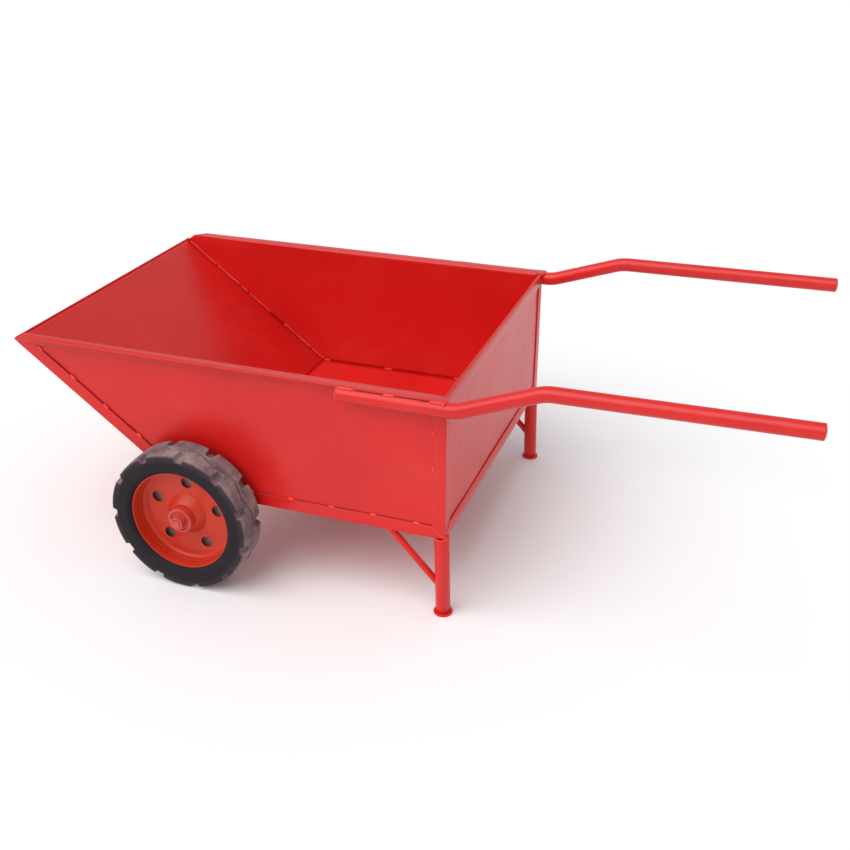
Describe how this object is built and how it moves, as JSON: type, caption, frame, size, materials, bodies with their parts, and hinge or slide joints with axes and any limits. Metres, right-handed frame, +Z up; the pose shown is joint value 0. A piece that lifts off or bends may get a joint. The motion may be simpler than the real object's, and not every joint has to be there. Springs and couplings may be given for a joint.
{
  "type": "two-wheeled tub hand cart",
  "caption": "Hand cart with an open sheet-steel tub, a sloped nose for tipping, solid lugged tyres on ball bearings, bent tube handles and braced rear legs.",
  "frame": {"origin": "on the ground, in the middle of the cart's length and width, below its bounding box", "axes": "+X from the sloped nose to the handles, +Z up, +Y to the right of a person who stands at the handles and pushes, so left nodes are at -Y"},
  "size_m": [1.7998, 1.02, 0.612],
  "materials": {
    "cart_paint": "gloss enamel over welded steel",
    "wheel_paint": "orange-red enamel, dusty",
    "tyre_rubber": "matt, dusty",
    "axle_steel": "turned, partly over-painted",
    "bearing_steel": "ground"
  },
  "bodies": {
    "cart": {"floor_plate": "cart_paint", "nose_plate": "cart_paint", "nose_lip": "cart_paint", "side_panel_left": "cart_paint", "side_panel_right": "cart_paint", "tail_panel": "cart_paint", "tail_rail": "cart_paint", "rim_angle_left": "cart_paint", "rim_angle_right": "cart_paint", "slope_angle_left": "cart_paint", "slope_angle_right": "cart_paint", "bottom_angle_left": "cart_paint", "bottom_angle_right": "cart_paint", "bottom_angle_tail": "cart_paint", "floor_cross_bars": "cart_paint", "corner_post_left": "cart_paint", "corner_post_right": "cart_paint", "handle_left": "cart_paint", "handle_right": "cart_paint", "handle_cap_left": "cart_paint", "handle_cap_right": "cart_paint", "leg_left": "cart_paint", "leg_right": "cart_paint", "foot_left": "cart_paint", "foot_right": "cart_paint", "leg_brace_left": "cart_paint", "leg_brace_right": "cart_paint", "axle": "axle_steel", "axle_bracket_left": "cart_paint", "axle_bracket_right": "cart_paint", "axle_washers": "wheel_paint", "axle_nuts": "wheel_paint", "bearing_inner_rings": "bearing_steel", "bearing_spacers": "bearing_steel"},
    "wheel_left": {"tyre_left": "tyre_rubber", "wheel_rim_left": "wheel_paint", "wheel_disc_left": "wheel_paint", "wheel_back_disc_left": "wheel_paint", "wheel_hub_left": "wheel_paint", "bearing_outer_rings_left": "bearing_steel", "bearing_balls_left": "bearing_steel", "bearing_shields_left": "bearing_steel"},
    "wheel_right": {"tyre_right": "tyre_rubber", "wheel_rim_right": "wheel_paint", "wheel_disc_right": "wheel_paint", "wheel_back_disc_right": "wheel_paint", "wheel_hub_right": "wheel_paint", "bearing_outer_rings_right": "bearing_steel", "bearing_balls_right": "bearing_steel", "bearing_shields_right": "bearing_steel"}
  },
  "joints": [
    {"name": "wheel_left_spin", "type": "hinge", "parent": "cart", "child": "wheel_left", "pos_m": [-0.44081, -0.462, 0.174], "axis": [0, 1, 0], "continuous": true},
    {"name": "wheel_right_spin", "type": "hinge", "parent": "cart", "child": "wheel_right", "pos_m": [-0.44081, 0.462, 0.174], "axis": [0, 1, 0], "continuous": true}
  ]
}
